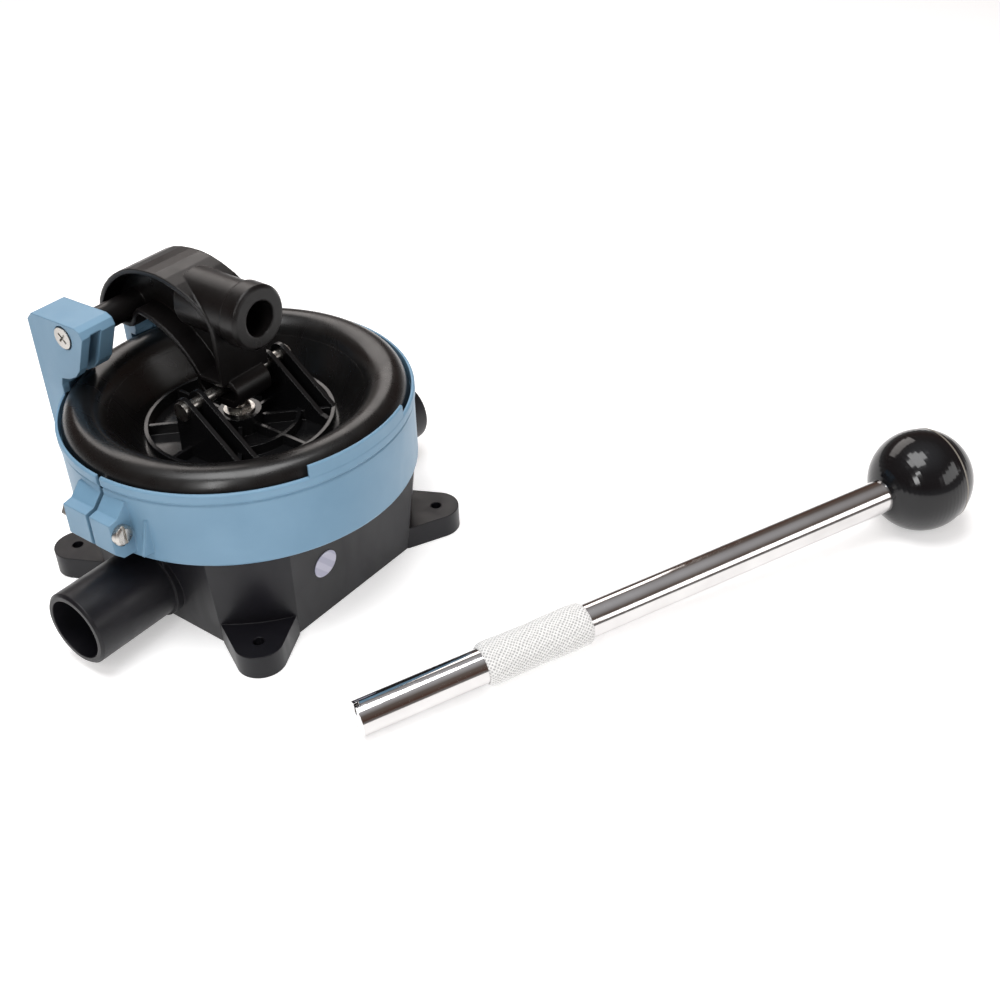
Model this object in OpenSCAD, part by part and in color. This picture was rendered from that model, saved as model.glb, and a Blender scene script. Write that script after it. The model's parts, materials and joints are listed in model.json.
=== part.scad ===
/* [Pump body] */
// Distance between mounting holes, along both sides of the square base
hole_spacing = 132; // [126:1:138]
// Radius of each mounting hole
hole_r = 2.75; // [2.25:0.25:3.25]
// Half the width of the square lower body
body_half = 66.5; // [65:0.5:68]
// Radius of the round body that cuts the square's corners off
body_r = 79; // [78:0.5:79]
// Height of the mounting feet
foot_h = 12.5; // [10:0.5:16]
// Outer radius of the inlet and outlet hose tails
tail_r = 19; // [18:0.5:19]
// Bore radius of the hose tails
tail_bore_r = 15.6; // [14:0.1:16]
// Distance from the pump's centre to the mouth of each hose tail
tail_reach = 118; // [105:1:130]
// Height of the hose tails' axis above the base
tail_z = 24; // [24:0.5:26]

/* [Clamp ring] */
// Height of the ring's lower edge
ring_z0 = 53; // [50:0.5:55]
// Height of the ring's upper lip
ring_z1 = 93; // [92.5:0.5:94]
// Outer radius of the ring's lip
ring_r = 87.3; // [87:0.1:90]
// Height that the front guard stands above the lip
guard_h = 6; // [3:0.5:8]
// Distance from the centre plane to the outer face of the wide pivot post
post_x = 49; // [48:0.5:51]

/* [Lever] */
// Distance of the pivot axis behind the pump's centre
pivot_y = 60; // [59.5:0.5:60.5]
// Height of the pivot axis
pivot_z = 128; // [127.5:0.5:128.5]
// Width of the lever arm
lever_w = 30; // [28:1:34]
// Radius of the socket's bore
socket_bore_r = 8.75; // [8.7:0.05:8.9]
// Depth of the socket's bore
socket_depth = 38; // [34:1:42]

/* [Diaphragm] */
// Height of the top of the rolled rim
roll_top = 99.5; // [97:0.5:100]
// Height of the link pin between lever and diaphragm plate
link_z = 100; // [99.5:0.5:100.5]
// Radius of the ribbed upper plate
plate_r = 47; // [44:0.5:48]

/* [Loose handle] */
// Outer radius of the handle tube
handle_r = 8.6; // [8.4:0.05:8.65]
// Length of the handle tube
handle_l = 300; // [260:5:340]
// Radius of the ball knob
knob_r = 26.5; // [24:0.5:28]
// Direction in which the loose handle lies, in degrees from +X
handle_heading = -25.5; // [-30:0.1:-20]

/* [Hidden] */
$fn = 96;
eps = 0.01;
body_black = [0.10, 0.10, 0.11];
ring_blue = [0.42, 0.62, 0.74];
rubber_black = [0.06, 0.06, 0.06];
steel = [0.78, 0.77, 0.74];
brass = [0.78, 0.62, 0.32];
nylon_white = [0.90, 0.90, 0.86];

// Pump body
hole_half = hole_spacing / 2;
foot_tip_r = 12;
foot_root_half = 18.3;
chamber_floor = 6;
chamber_r = 58;
upper_bore_r = 72;
upper_step_z = 60;
shoulder_z = 58;
flange_r = 84.2;
wall_top_half = 72.3;
wall_top_r = 85;
wall_lean = atan((wall_top_half - body_half) / (ring_z0 - 0.5));
flange_z0 = 72;
flange_z1 = 78;
tail_collar_r = 20.2;
tail_collar_x = 73;
rib_t = 2.4;

// Valves: each seat is pressed into an inner boss of the body
boss_r = 25;
seat_r = 19;
flap_pocket_r = 21.6;
seat_t = 3.5;
seat_hole_r = 11.5;
inlet_seat_x = -46.5;
outlet_seat_x = 49.5;
pocket_end_x = 64;
flap_r = 14;
flap_t = 2.5;
flap_gap = 0.15;
flap_pin_x = 2.9;
flap_pin_z = 15.4;
flap_pin_r = 1.25;
flap_pin_half = 12;
knuckle_half = 8.6;
knuckle_r = 2.4;
running_gap = 0.06;

// Clamp ring
ring_inner_r = 83.4;
lip_inner_r = 85.7;
lip_bead_h = 5;
split_gap = 2.4;
guard_start = -112.5;
guard_angle = 42.5;
screw_x = -92;
screw_z = 70;
screw_r = 2.5;
lug_x = -97;
lug_z0 = 57;
lug_z1 = 84;
lug_near_y = -15;
lug_far_y = 17;
post_wall = 3.5;
post_depth = 20;
outer_cheek = 5;
inner_cheek = 8.5;
post_back_y = 86;
post_top_z = 135;
post_front_y = 45;
near_post_x = 17;
near_post_w = 13;
near_post_front = 79;
near_post_back = 89;
pin_r = 3.2;
pin_head_r = 5.6;
pin_head_t = 2.5;

// Lever
flange_t = 2.4;
web_half = 3;
arch_y = 49.7;
arch_z = 82;
arch_r = 48.6;
hub_r = 6.5;
hub_left = post_x - post_depth - 0.3;
hub_right = near_post_x - 0.3;
bush_r = 4.8;
bush_l = 14;
socket_r = 14.6;
collar_r = 16;
collar_l = 10;
socket_mouth_y = -25.2;
socket_mouth_z = 141.5;
lever_front_y = -9;
foot_r = 7.6;
foot_half_x = 11;
foot_z1 = 108;
slot_half_z = 3.6;
slot_travel = 8.4;
slot_rise = 0.4;

// Diaphragm and its plates
rubber_t = 2.6;
bead_r0 = 76;
bead_z1 = 82;
crest_r = 74;
crest_a = 11;
roll_z = 86;
roll_power = 2.3;
bowl_top = [62.5, 91.5];
bowl_low = [56.5, 81.5];
bowl_foot_r = 47.4;
plate_z0 = 71;
plate_floor_t = 3.5;
rim_z = 81;
rib_z = 80;
rib_ring_r = 29;
rib_w = 2;
plate_hub_r = 11;
hub_top = 84;
ear_xs = [23, 32];
ear_t = 2.5;
ear_top_r = 6;
gusset_front_y = -34;
link_pin_r = 3;
lower_plate_r = 42;
bolt_r = 4;
nut_z = 85;

// Handle, lying on the surface beside the pump
handle_end = [-75.1, -135.7];
handle_wall = 1.4;
handle_cap = 4;
knob_s = handle_l + 17;
handle_tilt = asin((knob_r - handle_r) / knob_s);
sleeve_s0 = 62;
sleeve_s1 = 117;
sleeve_r = 10.8;
knob_line_s = 9;
knob_line_w = 0.9;
knob_core_r = 23;
stud_r = 4;

// ---------------------------------------------------------------- shared shapes

// Cylinder along X from x0 to x1
module x_rod(x0, x1, r) {
    translate([x0, 0, 0]) rotate([0, 90, 0]) cylinder(h = x1 - x0, r = r);
}

// Cylinder along Y from y0 to y1
module y_rod(y0, y1, r) {
    translate([0, y1, 0]) rotate([90, 0, 0]) cylinder(h = y1 - y0, r = r);
}

// A flat outline in the Y-Z plane, made solid from x0 to x1
module yz_solid(x0, x1) {
    translate([x0, 0, 0]) rotate([90, 0, 90]) linear_extrude(height = x1 - x0) children();
}

function arc_points(cy, cz, r, a0, a1, n) =
    [for (i = [0 : n]) let (a = a0 + (a1 - a0) * i / n) [cy + r * cos(a), cz + r * sin(a)]];

// ---------------------------------------------------------------- pump body

module foot_outline() {
    diag = hole_half * sqrt(2);
    root = body_r * cos(asin(foot_root_half / body_r));
    reach = diag - root;
    lean = asin((foot_root_half - foot_tip_r) / reach);
    tx = diag + foot_tip_r * sin(lean);
    ty = foot_tip_r * cos(lean);
    translate([diag, 0]) circle(r = foot_tip_r);
    polygon([[root - 12, -foot_root_half], [root, -foot_root_half], [tx, -ty], [tx, ty],
        [root, foot_root_half], [root - 12, foot_root_half]]);
}

// Square lower body with leaning walls, its corners cut off by a cone
module flared_body() {
    h = ring_z0 - 0.5;
    intersection() {
        rotate(45) cylinder(h = h, r1 = body_half * sqrt(2), r2 = wall_top_half * sqrt(2), $fn = 4);
        cylinder(h = h, r1 = body_r - 1, r2 = wall_top_r);
    }
}

module hose_tail(side) {
    chamfer = 1.2;
    mirror([side < 0 ? 1 : 0, 0, 0]) translate([0, 0, tail_z]) {
        x_rod(50, tail_reach - chamfer, tail_r);
        translate([tail_reach - chamfer, 0, 0]) rotate([0, 90, 0])
            cylinder(h = chamfer, r1 = tail_r, r2 = tail_r - chamfer);
        x_rod(50, tail_collar_x, tail_collar_r);
    }
}

// Upright ribs that tie each hose tail to the body's shoulder
module tail_ribs() {
    for (side = [-1, 1], y = [-13, 0, 13])
        translate([side > 0 ? body_half - 3 : -tail_collar_x, y - rib_t / 2, tail_z])
            cube([tail_collar_x - body_half + 3, rib_t, ring_z0 - tail_z - 1]);
}

module pump_body() {
    color(body_black) difference() {
        union() {
            flared_body();
            linear_extrude(height = foot_h)
                for (a = [45 : 90 : 315]) rotate(a) foot_outline();
            translate([0, 0, ring_z0 - 4]) cylinder(h = flange_z0 - ring_z0 + 4 + eps, r = body_r);
            translate([0, 0, flange_z0]) cylinder(h = flange_z1 - flange_z0, r = flange_r);
            hose_tail(-1);
            hose_tail(1);
            tail_ribs();
        }
        difference() {
            union() {
                translate([0, 0, chamber_floor]) cylinder(h = 60, r = chamber_r);
                translate([0, 0, upper_step_z]) cylinder(h = 30, r = upper_bore_r);
            }
            // inner bosses that carry the valve seats
            translate([0, 0, tail_z]) {
                x_rod(-chamber_r - 4, inlet_seat_x, boss_r);
                x_rod(outlet_seat_x - seat_t, chamber_r + 4, boss_r);
            }
            translate([-chamber_r - 4, -boss_r, 0]) cube([chamber_r + 4 + inlet_seat_x, 2 * boss_r, tail_z]);
            translate([outlet_seat_x - seat_t, -boss_r, 0]) cube([chamber_r + 4, 2 * boss_r, tail_z]);
        }
        translate([0, 0, tail_z]) {
            x_rod(-tail_reach - 1, inlet_seat_x + 1, tail_bore_r);
            x_rod(inlet_seat_x - seat_t, inlet_seat_x + 1, seat_r);
            x_rod(outlet_seat_x - seat_t - 1, tail_reach + 1, tail_bore_r);
            x_rod(outlet_seat_x - seat_t - 1, outlet_seat_x, seat_r);
            x_rod(outlet_seat_x - eps, pocket_end_x, flap_pocket_r);
        }
        for (x = [-1, 1], y = [-1, 1])
            translate([x * hole_half, y * hole_half, -1]) cylinder(h = foot_h + 2, r = hole_r);
    }
}

// ---------------------------------------------------------------- valves

// A seat with its hinge lugs. Flow runs along +X, and the flap closes the +X face.
module valve_seat() {
    color(body_black) difference() {
        union() {
            x_rod(-seat_t, 0, seat_r);
            for (y = [-flap_pin_half, knuckle_half + 0.4])
                translate([0, y, flap_pin_z - 4])
                    cube([flap_pin_x + 2.2, flap_pin_half - knuckle_half - 0.4, 6]);
        }
        x_rod(-seat_t - 1, 6, seat_hole_r);
        translate([flap_pin_x, 0, flap_pin_z]) y_rod(-20, 20, flap_pin_r);
    }
}

module valve_flap() {
    color(rubber_black) difference() {
        union() {
            x_rod(flap_gap, flap_gap + flap_t, flap_r);
            translate([flap_gap, -knuckle_half, flap_r - 6])
                cube([flap_t, 2 * knuckle_half, flap_pin_z - flap_r + 6]);
            translate([flap_pin_x, 0, flap_pin_z]) y_rod(-knuckle_half, knuckle_half, knuckle_r);
            x_rod(flap_gap + flap_t - eps, flap_gap + flap_t + 1.5, flap_r - 5);
        }
        translate([flap_pin_x, 0, flap_pin_z]) y_rod(-20, 20, flap_pin_r + running_gap);
    }
}

module flap_pin() {
    color(steel) translate([flap_pin_x, 0, flap_pin_z]) y_rod(-flap_pin_half, flap_pin_half, flap_pin_r);
}

module at_inlet() translate([inlet_seat_x, 0, tail_z]) children();
module at_outlet() translate([outlet_seat_x, 0, tail_z]) children();

// ---------------------------------------------------------------- clamp ring

module ring_section() {
    band_top = ring_z1 - lip_bead_h;
    polygon([[ring_r - 1.4, ring_z0], [ring_r - 0.9, ring_z0 + 1], [ring_r - 0.6, band_top - 1.6],
        [ring_r - 1.1, band_top - 0.8], [ring_r, band_top + 0.6], [ring_r, ring_z1 - 0.8],
        [ring_r - 0.6, ring_z1], [lip_inner_r, ring_z1], [lip_inner_r, bead_z1 + 3.5],
        [flange_r - 1, bead_z1 + 2], [flange_r - 1, bead_z1], [flange_r + 0.3, bead_z1],
        [flange_r + 0.3, flange_z0], [body_r + 0.5, flange_z0], [body_r + 0.5, flange_z0 - 3.5],
        [ring_inner_r, flange_z0 - 6], [ring_inner_r, ring_z0]]);
}

post_outline = [[post_back_y, ring_z0 + 6], [post_back_y, post_top_z - 4],
    [post_back_y - 4, post_top_z], [post_front_y + 5, post_top_z + 1], [post_front_y + 1.5, post_top_z - 0.5],
    [post_front_y, post_top_z - 4], [53, 112], [57, 107.5], [62.5, 104.5], [69, 103],
    [70.5, 99], [70.5, ring_z0 + 12]];

// Wide post on the inlet side, with an open slot between its two cheeks
module wide_post() {
    difference() {
        yz_solid(-post_x, post_depth - post_x) polygon(post_outline);
        translate([outer_cheek - post_x, post_front_y - 30, roll_top + 4])
            cube([post_depth - outer_cheek - inner_cheek, post_back_y - post_front_y + 30 - post_wall,
                post_top_z - roll_top - 4 - post_wall]);
        translate([0, pivot_y, pivot_z]) {
            x_rod(-post_x - 1, 0, pin_r);
            x_rod(-post_x - 1, pin_head_t - 0.6 - post_x, pin_head_r + 0.6);
        }
    }
}

// Narrow post close beside the lever, on a foot that passes under the lever
module near_post() {
    difference() {
        union() {
            yz_solid(near_post_x, near_post_x + near_post_w)
                polygon(concat(arc_points(pivot_y, pivot_z, 6.4, 215, 30, 10),
                    [[79, 118], [near_post_back, 107], [near_post_back, ring_z0 + 6],
                    [72, ring_z0 + 12], [72, 90], [79, 94], [78, 101], [70, 104], [60, 112]]));
            translate([6, near_post_front, ring_z0 + 8])
                cube([near_post_x, near_post_back - 0.3 - near_post_front, 44]);
        }
        translate([0, pivot_y, pivot_z]) {
            x_rod(0, 60, pin_r);
            x_rod(near_post_x + near_post_w - pin_head_t, 60, pin_head_r + 0.4);
        }
    }
}

module clamp_lugs() {
    h = lug_z1 - lug_z0;
    for (span = [[lug_near_y, -split_gap / 2 + 0.5], [split_gap / 2 - 0.5, lug_far_y]])
        translate([0, span[1], 0]) rotate([90, 0, 0]) linear_extrude(height = span[1] - span[0])
            polygon([[-80, lug_z0 - 1], [lug_x + 4, lug_z0], [lug_x, lug_z0 + 4], [lug_x, screw_z + 7],
                [lug_x + 5, lug_z1 - 6], [-ring_r + 1, lug_z1], [-80, lug_z1]]);
    // stiffening fin beside the screw head
    translate([0, lug_near_y - 8, 0]) rotate([90, 0, 0]) linear_extrude(height = 1.8)
        polygon([[-82, ring_z0 + 5], [-89, ring_z0 + 6], [-84, screw_z + 6], [-82, screw_z + 6]]);
}

module clamp_ring() {
    color(ring_blue) difference() {
        union() {
            rotate_extrude() ring_section();
            rotate([0, 0, guard_start]) rotate_extrude(angle = guard_angle)
                polygon([[lip_inner_r + 0.1, ring_z1 - 3], [ring_r - 0.15, ring_z1 - 3],
                    [ring_r - 0.15, ring_z1 + guard_h - 0.6], [ring_r - 0.6, ring_z1 + guard_h],
                    [lip_inner_r + 0.1, ring_z1 + guard_h]]);
            difference() {
                union() {
                    wide_post();
                    near_post();
                    clamp_lugs();
                }
                // room for the ring's bore and for the rolled rim
                translate([0, 0, ring_z0 - 5]) {
                    cylinder(h = ring_z1 + 5.5 - ring_z0, r = lip_inner_r + 0.25);
                    cylinder(h = roll_top + 3.8 - ring_z0, r = lip_inner_r - 2);
                    cylinder(h = roll_top + 6 - ring_z0, r = crest_r + 6);
                }
            }
        }
        translate([-110, -split_gap / 2, ring_z0 - 1]) cube([40, split_gap, ring_z1 - ring_z0 + 10]);
        translate([screw_x, 0, screw_z]) y_rod(-30, 30, screw_r + 0.2);
    }
}

module clamp_screw() {
    head_t = 3.4;
    color(steel) translate([screw_x, 0, screw_z]) difference() {
        union() {
            y_rod(lug_near_y - eps, lug_far_y + 5, screw_r);
            y_rod(lug_near_y - head_t + 1, lug_near_y, 5);
            translate([0, lug_near_y - head_t + 1, 0]) rotate([90, 0, 0]) cylinder(h = 1, r1 = 5, r2 = 3.8);
        }
        translate([-0.7, lug_near_y - head_t - 1, -6]) cube([1.4, 2.6, 12]);
    }
}

module clamp_nut() {
    color(steel) translate([screw_x, 0, screw_z]) difference() {
        translate([0, lug_far_y + 4, 0]) rotate([90, 0, 0]) cylinder(h = 4, r = 4.6, $fn = 6);
        y_rod(0, 30, screw_r);
    }
}

module pivot_pin() {
    head_x = -post_x - 0.6;
    color(steel) translate([0, pivot_y, pivot_z]) difference() {
        union() {
            x_rod(head_x + pin_head_t - eps, near_post_x + near_post_w - 0.4, pin_r);
            x_rod(head_x, head_x + pin_head_t, pin_head_r);
        }
        for (a = [45, 135]) rotate([a, 0, 0]) translate([head_x - 1, -3.2, -0.6]) cube([2.2, 6.4, 1.2]);
    }
}

module pivot_nut() {
    end = near_post_x + near_post_w;
    color(steel) translate([0, pivot_y, pivot_z]) difference() {
        x_rod(end - pin_head_t, end - 0.2, 5.4, $fn = 6);
        x_rod(0, end + 3, pin_r);
    }
}

// ---------------------------------------------------------------- diaphragm

// Points on a bend from a to c, drawn towards b
function bend(a, b, c, n) =
    [for (i = [0 : n]) let (t = i / n) (1 - t) * (1 - t) * a + 2 * t * (1 - t) * b + t * t * c];

// Upper line of the diaphragm, from the rolled rim's outer side in to the plate
top_line = concat(
    [for (i = [0 : 15]) let (t = 6 * i)
        [crest_r + crest_a * pow(cos(t), 2 / roll_power),
            roll_z + (roll_top - roll_z) * pow(sin(t), 2 / roll_power)]],
    bend([crest_r - 0.6, roll_top], [crest_r - 7, roll_top], bowl_top, 10),
    bend(bowl_low, [51, plate_z0], [bowl_foot_r, plate_z0], 10));

// A line moved sideways by d, towards its left
function moved_left(line, d) = [for (i = [0 : len(line) - 1])
    line[i] + d * edge_normal(line[max(i - 1, 0)], line[min(i + 1, len(line) - 1)])];

module diaphragm() {
    low_line = moved_left(top_line, rubber_t);
    color(rubber_black) rotate_extrude() polygon(concat(
        [[bead_r0, flange_z1], [flange_r, flange_z1], [flange_r, bead_z1], [flange_r - 1.6, bead_z1],
            [flange_r - 1.6, bead_z1 + 2]],
        top_line,
        [[bolt_r, plate_z0], [bolt_r, plate_z0 - rubber_t]],
        [for (i = [len(low_line) - 1 : -1 : 0]) low_line[i]],
        [[flange_r - 4.2, bead_z1 + 1.5], [flange_r - 4.2, bead_z1 - 1.2], [bead_r0, bead_z1 - 1.2]]));
}

module ear_outline() {
    top = link_z;
    polygon(concat(arc_points(0, top, ear_top_r, 100, 0, 6),
        [[7.5, plate_z0 + 1], [gusset_front_y - 4, plate_z0 + 1], [gusset_front_y - 4, rib_z],
            [gusset_front_y, rib_z + 1]], arc_points(0, top, ear_top_r, 130, 100, 2)));
}

module upper_plate() {
    color(body_black) difference() {
        union() {
            translate([0, 0, plate_z0]) cylinder(h = plate_floor_t, r = plate_r);
            translate([0, 0, plate_z0]) difference() {
                cylinder(h = rim_z - plate_z0, r = plate_r);
                translate([0, 0, 1]) cylinder(h = 20, r = plate_r - rib_w);
            }
            translate([0, 0, plate_z0]) difference() {
                cylinder(h = rib_z - plate_z0, r = rib_ring_r + rib_w / 2);
                translate([0, 0, 1]) cylinder(h = 20, r = rib_ring_r - rib_w / 2);
            }
            translate([0, 0, plate_z0]) cylinder(h = hub_top - plate_z0, r = plate_hub_r);
            for (a = [0 : 45 : 315]) rotate(a)
                translate([plate_hub_r - 1, -rib_w / 2, plate_z0 + 1])
                    cube([plate_r - plate_hub_r, rib_w, rib_z - plate_z0 - 1]);
            for (side = [-1, 1], x = ear_xs)
                yz_solid(side * x - ear_t / 2, side * x + ear_t / 2) ear_outline();
        }
        translate([0, 0, plate_z0 - 1]) cylinder(h = 30, r = bolt_r);
        translate([0, 0, link_z]) x_rod(-40, 40, link_pin_r);
        // keep the ears' feet inside the plate's rim
        translate([0, 0, plate_z0 - 1]) difference() {
            cylinder(h = rim_z - plate_z0 + 12, r = plate_r + 20);
            translate([0, 0, -1]) cylinder(h = 40, r = plate_r);
        }
    }
}

module lower_plate() {
    z1 = plate_z0 - rubber_t;
    color(body_black) rotate_extrude() polygon([[bolt_r, z1], [lower_plate_r, z1],
        [lower_plate_r, z1 - 4], [lower_plate_r - 3, z1 - 7], [lower_plate_r - 8, z1 - 8], [bolt_r, z1 - 8]]);
}

module centre_bolt() {
    z = plate_z0 - rubber_t - 8;
    color(steel) {
        translate([0, 0, z - 5]) cylinder(h = 5, r = 7.2, $fn = 6);
        translate([0, 0, z - eps]) cylinder(h = nut_z + 3 - z, r = bolt_r);
    }
}

module centre_washer() {
    color(steel) translate([0, 0, hub_top]) difference() {
        cylinder(h = nut_z - hub_top, r = 7.8);
        translate([0, 0, -1]) cylinder(h = 5, r = bolt_r);
    }
}

module centre_nut() {
    color(brass) translate([0, 0, nut_z]) difference() {
        cylinder(h = 2.4, r = 6.2, $fn = 6);
        translate([0, 0, -1]) cylinder(h = 6, r = bolt_r);
    }
}

module link_pin() {
    end = ear_xs[1] + ear_t / 2;
    color(steel) translate([0, 0, link_z]) {
        x_rod(-end - eps, end + 3, link_pin_r);
        x_rod(-end - 2, -end, link_pin_r + 1.8);
    }
}

module link_pin_clip() {
    end = ear_xs[1] + ear_t / 2;
    color(steel) translate([0, 0, link_z]) difference() {
        x_rod(end + 0.1, end + 1.1, link_pin_r + 2);
        x_rod(0, 60, link_pin_r);
        translate([end - 1, -1.2, 0]) cube([4, 2.4, 10]);
    }
}

// ---------------------------------------------------------------- lever

// Side outline of the lever in the Y-Z plane
lever_outline = concat(
    [[lever_front_y, 133], [-8.4, 138], [-6, 142.5], [-1.5, 146.8], [5, 150.6], [13, 153.7],
        [20, 155.5], [27, 156.3], [34, 156], [41, 155.1], [47, 153.6], [53, 151],
        [58, 148], [62.5, 144.6], [67, 140.2], [70.5, 135.6], [73.5, 130.4], [75.2, 125.5], [75, 122.5],
        [72.5, 120.6], [54, 120.6], [50.5, 121.8], [48.5, 124.5], [47, 128]],
    arc_points(arch_y, arch_z, arch_r, 96, 148, 10),
    [[8, foot_z1 - 1.8], [lever_front_y, foot_z1 - 1.8]]);

// An outline moved inwards by d
function edge_normal(a, b) = let (t = b - a) [-t[1], t[0]] / norm(t);
function moved_in(p, d) = [for (i = [0 : len(p) - 1])
    let (n1 = edge_normal(p[(i + len(p) - 1) % len(p)], p[i]), n2 = edge_normal(p[i], p[(i + 1) % len(p)]))
        p[i] - d * (n1 + n2) / (1 + n1 * n2)];

module socket_axis() {
    translate([0, socket_mouth_y, socket_mouth_z]) rotate([90, 0, 0]) children();
}

module lever_foot() {
    difference() {
        translate([0, 0, link_z + slot_rise]) {
            for (y = [-1, 1]) translate([0, y * (slot_travel - 1.8), 0])
                x_rod(-foot_half_x, foot_half_x, foot_r);
            translate([-foot_half_x, 1.8 - slot_travel, -foot_r])
                cube([2 * foot_half_x, 2 * slot_travel - 3.6, 2 * foot_r]);
        }
        translate([0, 0, link_z + slot_rise]) {
            for (y = [-slot_travel, slot_travel])
                translate([0, y, 0]) x_rod(-20, 20, slot_half_z);
            translate([-20, -slot_travel, -slot_half_z]) cube([40, 2 * slot_travel, 2 * slot_half_z]);
        }
    }
}

module lever_arm() {
    recess = lever_w / 2 - web_half;
    color(rubber_black) difference() {
        union() {
            difference() {
                yz_solid(-lever_w / 2, lever_w / 2) polygon(lever_outline);
                for (side = [-1, 1])
                    translate([side * (web_half + recess / 2 + 0.5), 0, 0])
                        yz_solid(-recess / 2 - 0.5, recess / 2 + 0.5)
                            polygon(moved_in(lever_outline, flange_t));
            }
            lever_foot();
            translate([0, pivot_y, pivot_z]) x_rod(-hub_left, hub_right, hub_r);
            socket_axis() {
                translate([0, 0, -socket_depth - 4]) cylinder(h = socket_depth + 4, r = socket_r);
                translate([0, 0, -socket_depth - 10]) cylinder(h = 6, r1 = socket_r - 5, r2 = socket_r);
                translate([0, 0, -collar_l]) cylinder(h = collar_l - 1.5, r = collar_r);
                translate([0, 0, -1.5]) cylinder(h = 1.5, r1 = collar_r, r2 = collar_r - 1.5);
            }
        }
        translate([0, pivot_y, pivot_z]) x_rod(-60, 60, bush_r);
        socket_axis() translate([0, 0, -socket_depth]) cylinder(h = socket_depth + 1, r = socket_bore_r);
    }
}

module pivot_bush(x0) {
    color(nylon_white) translate([0, pivot_y, pivot_z]) difference() {
        x_rod(x0, x0 + bush_l, bush_r);
        x_rod(-60, 60, pin_r + running_gap);
    }
}

// ---------------------------------------------------------------- small label

module inspection_sticker() {
    color([0.85, 0.85, 0.88]) 
        translate([-21.5, -body_half - 32 * tan(wall_lean) - 0.03, 32])
            rotate([90 + wall_lean, 0, 0]) cylinder(h = 0.4, r = 7.3);
}

// ---------------------------------------------------------------- loose handle

module along_handle() {
    translate([handle_end[0], handle_end[1], handle_r * cos(handle_tilt)])
        rotate([0, 0, handle_heading]) rotate([0, -handle_tilt, 0]) children();
}

module handle_tube() {
    color(steel) along_handle() difference() {
        x_rod(0, handle_l, handle_r);
        x_rod(handle_cap, handle_l + 1, handle_r - handle_wall);
        translate([-1, -1.3, 3]) cube([3.5, 2.6, 12]);
    }
}

module handle_sleeve() {
    color(nylon_white) along_handle() difference() {
        x_rod(sleeve_s0, sleeve_s1, sleeve_r);
        x_rod(0, handle_l, handle_r);
    }
}

module knob_ring() {
    color(nylon_white) along_handle() translate([knob_s, 0, 0]) difference() {
        x_rod(knob_line_s - knob_line_w / 2, knob_line_s + knob_line_w / 2,
            sqrt(knob_r * knob_r - knob_line_s * knob_line_s) + 0.1);
        x_rod(knob_line_s - 2, knob_line_s + 2, knob_core_r);
    }
}

// Half outline of the ball with its groove and stepped bore, turned about the handle's axis
function ball_outline() = let (
        up = asin((knob_line_s + knob_line_w / 2) / knob_r),
        down = asin((knob_line_s - knob_line_w / 2) / knob_r),
        mouth = -acos((handle_r + 0.02) / knob_r),
        bore_end = handle_l + 0.2 - knob_s)
    concat([[0, 5.2]], arc_points(0, 0, knob_r, 90, up, 14),
        [[knob_core_r, knob_line_s + knob_line_w / 2], [knob_core_r, knob_line_s - knob_line_w / 2]],
        arc_points(0, 0, knob_r, down, mouth, 18),
        [[handle_r + 0.02, bore_end], [stud_r, bore_end], [stud_r, 5.2]]);

module ball_knob() {
    color(rubber_black) along_handle() translate([knob_s, 0, 0]) rotate([0, 90, 0])
        rotate_extrude() polygon(ball_outline());
}

module knob_stud() {
    color(steel) along_handle() {
        x_rod(handle_l - 26, handle_l, handle_r - handle_wall);
        x_rod(handle_l - eps, knob_s + 5, stud_r);
    }
}

// ---------------------------------------------------------------- parts

pump_body();
clamp_ring();
clamp_screw();
clamp_nut();
at_inlet() valve_seat();  // inlet_valve_seat
at_outlet() valve_seat();  // outlet_valve_seat
at_inlet() valve_flap();  // inlet_flap
at_outlet() valve_flap();  // outlet_flap
at_inlet() flap_pin();  // inlet_flap_pin
at_outlet() flap_pin();  // outlet_flap_pin
diaphragm();
upper_plate();
lower_plate();
centre_bolt();
centre_washer();
centre_nut();
link_pin();
link_pin_clip();
lever_arm();
pivot_bush(-hub_left);  // pivot_bush_left
pivot_bush(hub_right - bush_l);  // pivot_bush_right
pivot_pin();
pivot_nut();
inspection_sticker();
handle_tube();
handle_sleeve();
ball_knob();
knob_ring();
knob_stud();
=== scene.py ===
"""Hand bilge pump with its loose handle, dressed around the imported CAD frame.

Units are metres; MM turns millimetres into them.
"""

import json
import math

import bpy
from mathutils import Matrix, Vector


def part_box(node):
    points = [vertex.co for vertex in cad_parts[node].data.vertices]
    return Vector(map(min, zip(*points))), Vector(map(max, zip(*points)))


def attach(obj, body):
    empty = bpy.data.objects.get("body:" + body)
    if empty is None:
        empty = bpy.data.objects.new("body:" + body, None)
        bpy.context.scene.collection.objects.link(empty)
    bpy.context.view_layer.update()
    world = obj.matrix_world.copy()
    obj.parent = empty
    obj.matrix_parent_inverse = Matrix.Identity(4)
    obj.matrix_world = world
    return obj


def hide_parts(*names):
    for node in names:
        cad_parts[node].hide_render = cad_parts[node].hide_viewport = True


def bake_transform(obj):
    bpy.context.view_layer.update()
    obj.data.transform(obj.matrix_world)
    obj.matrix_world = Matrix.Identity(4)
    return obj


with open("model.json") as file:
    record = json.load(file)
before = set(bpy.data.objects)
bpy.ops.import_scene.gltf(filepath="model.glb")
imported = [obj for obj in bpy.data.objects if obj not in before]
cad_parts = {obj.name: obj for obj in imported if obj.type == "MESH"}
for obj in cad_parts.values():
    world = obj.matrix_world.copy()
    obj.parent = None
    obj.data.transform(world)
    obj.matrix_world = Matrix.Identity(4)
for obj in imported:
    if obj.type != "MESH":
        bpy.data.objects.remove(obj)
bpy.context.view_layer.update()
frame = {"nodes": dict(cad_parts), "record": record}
MM = 0.001

# ------------------------------------------------------------------ camera

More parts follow.
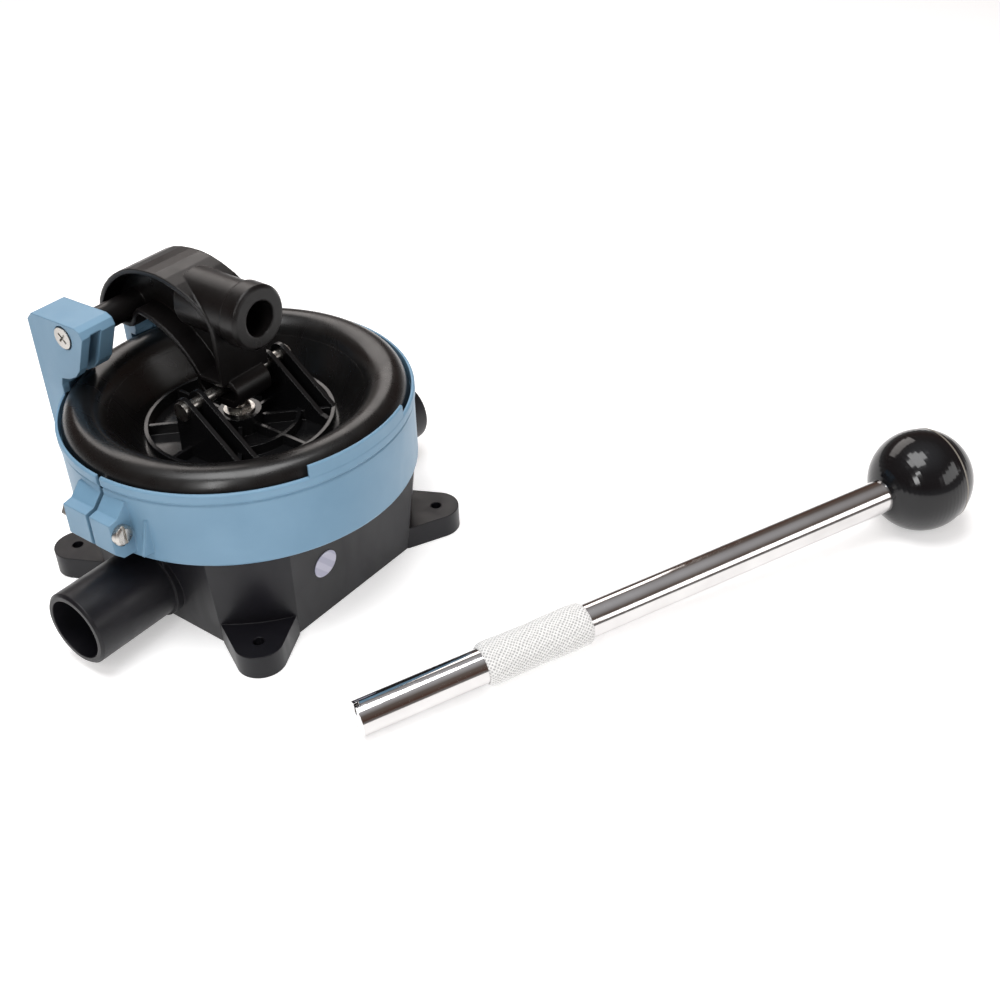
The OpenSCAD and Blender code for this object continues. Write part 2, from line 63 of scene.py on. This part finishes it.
CAMERA_AT = Vector((-0.3801, -0.4631, 0.4411))
CAMERA_TURN = math.radians(-51.6)
CAMERA_RISE = math.radians(35.6)
CAMERA_ROLL = math.radians(-2.4)
CAMERA_LENS = 49.8
CAMERA_SENSOR = 36


def make_camera():
    """A level camera, turned about Z, raised, then rolled about its own view line."""
    back = Vector((math.sin(CAMERA_TURN) * math.cos(CAMERA_RISE),
                   -math.cos(CAMERA_TURN) * math.cos(CAMERA_RISE),
                   math.sin(CAMERA_RISE)))
    level = Vector((math.cos(CAMERA_TURN), math.sin(CAMERA_TURN), 0))
    upright = back.cross(level)
    right = math.cos(CAMERA_ROLL) * level + math.sin(CAMERA_ROLL) * upright
    up = back.cross(right)
    data = bpy.data.cameras.new("camera")
    data.lens = CAMERA_LENS
    data.sensor_width = CAMERA_SENSOR
    camera = bpy.data.objects.new("camera", data)
    bpy.context.scene.collection.objects.link(camera)
    turn = Matrix((right, up, back)).transposed().to_4x4()
    camera.matrix_world = Matrix.Translation(CAMERA_AT) @ turn
    bpy.context.scene.camera = camera


make_camera()

# ------------------------------------------------------------------ light and floor

# name, place, aim, size, watts, colour
LIGHTS = (
    ("back_softbox", (0.55, 0.75, 0.80), (0, 0, 0.08), (1.0, 0.5), 4.5, (1, 0.95, 0.92)),
    ("top_softbox", (-0.15, -0.05, 1.3), (0, 0, 0), (0.8, 0.8), 13.5, (1, 1, 1)),
    ("left_strip", (-0.95, -0.45, 0.85), (0, 0, 0.08), (0.2, 0.7), 5, (1, 1, 1)),
    ("front_fill", (0.35, -1.2, 0.5), (0, 0, 0.05), (0.9, 0.4), 3, (1, 1, 1)),
)
# The world's colour by height: level with the object, above the horizon, higher up, overhead
SKY = ((0.0, (0.30, 0.30, 0.30, 1)), (0.30, (0.105, 0.056, 0.040, 1)),
       (0.72, (0.17, 0.140, 0.125, 1)), (1.0, (0.60, 0.60, 0.62, 1)))
SKY_STRENGTH = 0.9
FLOOR_SIZE = 20
FLOOR_GAP = 0.2 * MM
FLOOR_GLOW = 0.42


def area_light(name, place, aim, size, power, colour):
    data = bpy.data.lights.new(name, "AREA")
    data.shape = "RECTANGLE"
    data.size, data.size_y = size
    data.energy = power
    data.color = colour
    light = bpy.data.objects.new(name, data)
    light.location = place
    light.rotation_euler = (Vector(aim) - Vector(place)).to_track_quat("-Z", "Y").to_euler()
    bpy.context.scene.collection.objects.link(light)


def make_studio():
    for light in LIGHTS:
        area_light(*light)

    world = bpy.data.worlds.new("studio")
    world.use_nodes = True
    bpy.context.scene.world = world
    nodes, links = world.node_tree.nodes, world.node_tree.links
    where = nodes.new("ShaderNodeTexCoord")
    split = nodes.new("ShaderNodeSeparateXYZ")
    ramp = nodes.new("ShaderNodeValToRGB")
    sky = nodes["Background"]
    links.new(where.outputs["Generated"], split.inputs[0])
    links.new(split.outputs["Z"], ramp.inputs[0])
    steps = ramp.color_ramp.elements
    steps[0].color, steps[1].color = SKY[0][1], SKY[-1][1]
    for height, colour in SKY[1:-1]:
        steps.new(height).color = colour
    links.new(ramp.outputs[0], sky.inputs["Color"])
    sky.inputs["Strength"].default_value = SKY_STRENGTH


def new_material(name):
    """A material with only its output and a Principled shader: (material, tree, shader)."""
    material = bpy.data.materials.new(name)
    material.use_nodes = True
    tree = material.node_tree
    return material, tree, tree.nodes["Principled BSDF"]


def make_floor():
    bpy.ops.mesh.primitive_plane_add(size=FLOOR_SIZE, location=(0.1, 0, -FLOOR_GAP))
    floor = bpy.context.object
    floor.name = "floor"
    material, tree, shader = new_material("floor_paper")
    shader.inputs["Base Color"].default_value = (0.86, 0.86, 0.86, 1)
    shader.inputs["Roughness"].default_value = 0.75
    shader.inputs["Emission Color"].default_value = (1, 1, 1, 1)
    shader.inputs["Emission Strength"].default_value = FLOOR_GLOW
    floor.data.materials.append(material)


make_studio()
make_floor()
bpy.context.scene.view_settings.view_transform = "Standard"

# ------------------------------------------------------------------ materials


def node(tree, kind, **settings):
    """A new node of a kind, with settings such as its wave type."""
    made = tree.nodes.new(kind)
    for key, value in settings.items():
        setattr(made, key, value)
    return made


def noise(tree, scale, detail=3.0, distortion=0.0, stretch=(1, 1, 1)):
    """Noise over the object's own coordinates, in metres, with an optional stretch."""
    where = node(tree, "ShaderNodeTexCoord")
    mapping = node(tree, "ShaderNodeMapping")
    mapping.inputs["Scale"].default_value = stretch
    made = node(tree, "ShaderNodeTexNoise")
    made.inputs["Scale"].default_value = scale
    made.inputs["Detail"].default_value = detail
    made.inputs["Distortion"].default_value = distortion
    tree.links.new(where.outputs["Object"], mapping.inputs["Vector"])
    tree.links.new(mapping.outputs[0], made.inputs["Vector"])
    return made.outputs["Fac"]


def ramp_of(tree, factor, low, high, low_at=0.3, high_at=0.7):
    """A colour that runs from low to high as the factor passes from low_at to high_at."""
    made = node(tree, "ShaderNodeValToRGB")
    first, last = made.color_ramp.elements
    first.position, last.position = low_at, high_at
    first.color, last.color = (*low, 1), (*high, 1)
    tree.links.new(factor, made.inputs[0])
    return made.outputs[0]


def range_of(tree, factor, low, high):
    """A number that runs from low to high over the middle of a noise."""
    made = node(tree, "ShaderNodeMapRange")
    made.inputs["From Min"].default_value = 0.3
    made.inputs["From Max"].default_value = 0.7
    made.inputs["To Min"].default_value = low
    made.inputs["To Max"].default_value = high
    tree.links.new(factor, made.inputs[0])
    return made.outputs[0]


def relief(tree, shader, heights, edge=0.0):
    """Stacks bumps, each (factor, height in metres, strength), on an edge rounded by 'edge'."""
    last = None
    if edge:
        rounded = node(tree, "ShaderNodeBevel", samples=6)
        rounded.inputs["Radius"].default_value = edge
        last = rounded.outputs[0]
    for factor, height, strength in heights:
        bump = node(tree, "ShaderNodeBump")
        bump.inputs["Strength"].default_value = strength
        bump.inputs["Distance"].default_value = height
        tree.links.new(factor, bump.inputs["Height"])
        if last:
            tree.links.new(last, bump.inputs["Normal"])
        last = bump.outputs[0]
    if last:
        tree.links.new(last, shader.inputs["Normal"])


def moulded(name, dark, light, rough, edge=0.8 * MM, grain=0.05 * MM, coat=0.0, shine=0.5):
    """Moulded plastic: cloudy colour, uneven gloss, a fine grain and rounded edges."""
    material, tree, shader = new_material(name)
    cloud = noise(tree, 28, 4, 0.4)
    fine = noise(tree, 1900, 2)
    flow = noise(tree, 60, 3, 0.8, (1, 1, 0.35))
    tree.links.new(ramp_of(tree, cloud, dark, light), shader.inputs["Base Color"])
    tree.links.new(range_of(tree, flow, *rough), shader.inputs["Roughness"])
    shader.inputs["Specular IOR Level"].default_value = shine
    shader.inputs["Coat Weight"].default_value = coat
    shader.inputs["Coat Roughness"].default_value = 0.2
    relief(tree, shader, [(fine, grain, 0.25), (flow, 0.2 * MM, 0.08)], edge)
    return material


def metal(name, dark, light, rough, edge=0.25 * MM):
    """Worn bare metal: cloudy colour, with fine marks in its gloss and relief."""
    material, tree, shader = new_material(name)
    marks = noise(tree, 240, 4)
    cloud = noise(tree, 45, 3)
    shader.inputs["Metallic"].default_value = 1.0
    tree.links.new(ramp_of(tree, cloud, dark, light), shader.inputs["Base Color"])
    tree.links.new(range_of(tree, marks, *rough), shader.inputs["Roughness"])
    relief(tree, shader, [(marks, 0.02 * MM, 0.2)], edge)
    return material


def woven():
    """White braid with painted shade in its gaps: the strands' height, kept on the mesh, sets how
    dark the gaps are.
    """
    material, tree, shader = new_material("woven_sleeve")
    height = node(tree, "ShaderNodeAttribute", attribute_name="strand_height")
    fibre = noise(tree, 2600, 3, 0.5)
    # painted shade: the colour darkens from the strands' tops down into the gaps between them
    colour = ramp_of(tree, height.outputs["Fac"], (0.34, 0.34, 0.34), (0.80, 0.80, 0.79),
                     0.05, 0.62)
    tree.links.new(colour, shader.inputs["Base Color"])
    tree.links.new(range_of(tree, fibre, 0.55, 0.8), shader.inputs["Roughness"])
    shader.inputs["Sheen Weight"].default_value = 0.35
    relief(tree, shader, [(fibre, 0.12 * MM, 0.6)])
    return material


def label():
    """Pale round sticker with soft, wordless printed bands."""
    material, tree, shader = new_material("sticker_print")
    where = node(tree, "ShaderNodeTexCoord")
    bands = node(tree, "ShaderNodeTexWave", wave_type="BANDS", bands_direction="DIAGONAL")
    bands.inputs["Scale"].default_value = 75
    bands.inputs["Distortion"].default_value = 1.5
    tree.links.new(where.outputs["Object"], bands.inputs["Vector"])
    colour = ramp_of(tree, bands.outputs["Fac"], (0.36, 0.36, 0.47), (0.46, 0.46, 0.56), 0.35, 0.6)
    tree.links.new(colour, shader.inputs["Base Color"])
    shader.inputs["Roughness"].default_value = 0.35
    relief(tree, shader, [(noise(tree, 500), 0.04 * MM, 0.2)])
    return material


body_black = moulded("body_black", (0.004, 0.004, 0.0055), (0.008, 0.0075, 0.0105),
                     (0.32, 0.46), shine=0.28)
lever_black = moulded("lever_black", (0.004, 0.0035, 0.0035), (0.007, 0.006, 0.006),
                      (0.26, 0.38), edge=1.4 * MM, shine=0.32)
plate_black = moulded("plate_black", (0.004, 0.004, 0.0045), (0.007, 0.007, 0.0075),
                      (0.16, 0.28), edge=0.5 * MM, shine=0.4)
ring_blue = moulded("ring_blue", (0.135, 0.262, 0.380), (0.165, 0.300, 0.425),
                    (0.38, 0.50), edge=0.9 * MM)
rubber = moulded("diaphragm_rubber", (0.0035, 0.0035, 0.0035), (0.006, 0.0055, 0.0055),
                 (0.22, 0.34), edge=0.3 * MM, grain=0.01 * MM, coat=0.1, shine=0.4)
knob_black = moulded("knob_black", (0.005, 0.005, 0.006), (0.008, 0.008, 0.009),
                     (0.07, 0.12), edge=0.1 * MM, grain=0.01 * MM, coat=0.2, shine=0.3)
knob_line = moulded("knob_line", (0.16, 0.145, 0.12), (0.24, 0.22, 0.19),
                    (0.34, 0.46), edge=0.1 * MM)
nylon = moulded("nylon", (0.62, 0.62, 0.58), (0.74, 0.74, 0.70), (0.35, 0.50), edge=0.3 * MM)
stainless = metal("stainless", (0.36, 0.35, 0.33), (0.52, 0.50, 0.47), (0.20, 0.36))
chrome = metal("chrome", (0.60, 0.585, 0.58), (0.68, 0.67, 0.665), (0.06, 0.13), edge=0.3 * MM)

# The record's material slots
FINISH = {
    "body_black": body_black, "lever_black": lever_black, "ring_blue": ring_blue,
    "rubber_black": rubber, "stainless": stainless, "chrome_tube": chrome, "nylon": nylon,
    "knob_black": knob_black, "knob_line": knob_line, "label": label(), "woven_white": woven(),
}


def wear(piece, material):
    """Gives every material slot of a piece one material."""
    if not piece.data.materials:
        piece.data.materials.append(material)
    for slot in piece.material_slots:
        slot.material = material


for part in frame["record"]["subparts"]:
    wear(frame["nodes"][part["node"]], FINISH[part["material_slot"]])
for name in ("upper_plate", "lower_plate"):
    wear(frame["nodes"][name], plate_black)

# ------------------------------------------------------------------ mesh helpers


def mesh_piece(name, points, faces, material, sharp=None):
    """A smooth-shaded mesh, with edges over 'sharp' degrees kept sharp."""
    mesh = bpy.data.meshes.new(name)
    mesh.from_pydata(points, [], faces)
    mesh.materials.append(material)
    mesh.shade_smooth()
    if sharp:
        mesh.set_sharp_from_angle(angle=math.radians(sharp))
    piece = bpy.data.objects.new(name, mesh)
    bpy.context.scene.collection.objects.link(piece)
    return piece


def lathe(name, profile, material, turns=168, sharp=40):
    """Turns a closed outline of (radius, height) about the Z axis."""
    count = len(profile)
    points, faces = [], []
    for turn in range(turns):
        angle = 2 * math.pi * turn / turns
        points += [(r * math.cos(angle), r * math.sin(angle), z) for r, z in profile]
        here, there = turn * count, (turn + 1) % turns * count
        for i in range(count):
            j = (i + 1) % count
            faces.append((here + i, there + i, there + j, here + j))
    return mesh_piece(name, points, faces, material, sharp)


# ------------------------------------------------------------------ rubber diaphragm

# Lines are lists of (radius, height). The rolled rim's crest, its half width, and its heights
CREST_R, CREST_A, ROLL_Z, ROLL_TOP = 74 * MM, 11 * MM, 86 * MM, 99.5 * MM
ROLL_POWER = 2.3
CREST_CORNER = (67 * MM, ROLL_TOP)
BOWL_TOP, BOWL_LOW = (62.5 * MM, 91.5 * MM), (56.5 * MM, 81.5 * MM)
PLATE_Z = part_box("upper_plate")[0].z
BOWL_CORNER, BOWL_FOOT = (51 * MM, PLATE_Z), (47.4 * MM, PLATE_Z)
BOLT_R = 4.1 * MM
RUBBER = 2.6 * MM
# The bead clamped under the ring, from inside to outside, and the way back under the rim
BEAD = [(76.2 * MM, 78.05 * MM), (84.1 * MM, 78.05 * MM), (84.1 * MM, 81.9 * MM),
        (82.6 * MM, 81.9 * MM), (82.7 * MM, 84.0 * MM)]
NECK = [(80.0 * MM, 83.5 * MM), (80.0 * MM, 80.8 * MM), (76.2 * MM, 80.8 * MM)]


def bend(start, corner, end, steps):
    """Points on a quadratic bend from start to end, drawn towards corner."""
    line = []
    for i in range(steps + 1):
        t = i / steps
        line.append(tuple((1 - t) ** 2 * a + 2 * t * (1 - t) * b + t * t * c
                          for a, b, c in zip(start, corner, end)))
    return line


def rim_line(steps=26):
    """The rolled rim's outer side, from its widest point up to the crest."""
    line = []
    for i in range(steps):
        angle = math.radians(90 * i / steps)
        line.append((CREST_R + CREST_A * math.cos(angle) ** (2 / ROLL_POWER),
                     ROLL_Z + (ROLL_TOP - ROLL_Z) * math.sin(angle) ** (2 / ROLL_POWER)))
    return line + bend((CREST_R, ROLL_TOP), CREST_CORNER, BOWL_TOP, 16)


def web_line():
    """From the bowl's shoulder down its slope to the plate."""
    slope = [tuple(a + (b - a) * i / 12 for a, b in zip(BOWL_TOP, BOWL_LOW)) for i in range(12)]
    return slope + bend(BOWL_LOW, BOWL_CORNER, BOWL_FOOT, 16)


def moved_left(line, distance):
    """A line moved sideways, towards its left as it is followed: here, into the rubber."""
    moved = []
    for i, (r, z) in enumerate(line):
        before, after = line[max(i - 1, 0)], line[min(i + 1, len(line) - 1)]
        dr, dz = after[0] - before[0], after[1] - before[1]
        length = math.hypot(dr, dz)
        moved.append((r - distance * dz / length, z + distance * dr / length))
    return moved


def make_diaphragm():
    """The rim, which stays with the pump, and the web, a separate piece whose placement is baked
    into its mesh.
    """
    rim, web = rim_line(), web_line()
    whole = moved_left(rim + web[1:], RUBBER)
    rim_low, web_low = whole[:len(rim)], whole[len(rim) - 1:]
    outer = lathe("diaphragm_roll", BEAD + rim + rim_low[::-1] + NECK, rubber)
    hole = [(BOLT_R, PLATE_Z), (BOLT_R, PLATE_Z - RUBBER)]
    inner = lathe("diaphragm_web", web + hole + web_low[::-1], rubber)
    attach(outer, "pump")
    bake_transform(inner)
    for piece in (outer, inner):
        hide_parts("diaphragm")


make_diaphragm()

# ------------------------------------------------------------------ woven sleeve on the handle

# The tube's open end, the sleeve's two ends along the tube, and its inner and outer radius
HANDLE_START = Vector((-75.1, -135.7, 8.59)) * MM
SLEEVE_FROM, SLEEVE_TO = 62 * MM, 117 * MM
SLEEVE_IN, SLEEVE_OUT = 8.7 * MM, 10.7 * MM
STRANDS, POINTS_PER_STRAND, SLEEVE_ROWS, LIP_ROWS = 34, 8, 210, 9
# The strands stand 0.5 mm proud of a wall that waves by 0.18 mm
STRAND_RISE, STRAND_ROOM, WAVE = 0.5 * MM, 0.55 * MM, 0.18 * MM


def strand_height(angle, drift, t):
    """Height, 0 to 1, of two crossing sets of strands that wander and fray."""
    phase = STRANDS * angle
    wander = 0.6 * math.sin(3 * angle + 21 * t) + 0.45 * math.sin(7 * angle - 34 * t + 1.3)
    first = math.cos((phase + drift + wander) / 2) ** 2
    second = math.cos((phase - drift + 1.6 * wander) / 2) ** 2
    fray = 0.78 + 0.22 * math.sin(11 * angle + 57 * t) * math.sin(5 * angle - 83 * t)
    return fray * max(first ** 1.5, second ** 1.5)


def make_sleeve():
    """A braided tube over the handle, drawn in to the tube at both ends."""
    low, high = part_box("ball_knob")
    along = ((low + high) / 2 - HANDLE_START).normalized()
    side = along.cross(Vector((0, 0, 1))).normalized()
    up = side.cross(along)
    turns, rows = STRANDS * POINTS_PER_STRAND, SLEEVE_ROWS
    pitch = 2 * math.pi * SLEEVE_OUT / STRANDS
    points, faces, heights = [], [], []
    for row in range(rows + 1):
        t = row / rows
        s = SLEEVE_FROM + (SLEEVE_TO - SLEEVE_FROM) * t
        drift = 2 * math.pi * (s - SLEEVE_FROM) / pitch
        lip = min(1.0, min(t, 1 - t) * rows / LIP_ROWS) ** 0.5
        wall = SLEEVE_IN + (SLEEVE_OUT - SLEEVE_IN - STRAND_ROOM) * lip
        wall += WAVE * math.sin(9 * t + 0.8) * lip
        for turn in range(turns):
            angle = 2 * math.pi * turn / turns
            height = strand_height(angle, drift, t)
            r = wall + STRAND_RISE * height * lip
            spoke = side * math.cos(angle) + up * math.sin(angle)
            points.append(HANDLE_START + along * s + spoke * r)
            heights.append(height)
    for row in range(rows):
        for turn in range(turns):
            a, b = row * turns + turn, row * turns + (turn + 1) % turns
            faces.append((a, b, b + turns, a + turns))
    sleeve = mesh_piece("braided_sleeve", points, faces, FINISH["woven_white"])
    kept = sleeve.data.attributes.new("strand_height", "FLOAT", "POINT")
    kept.data.foreach_set("value", heights)
    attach(sleeve, "handle")
    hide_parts("handle_sleeve")


make_sleeve()
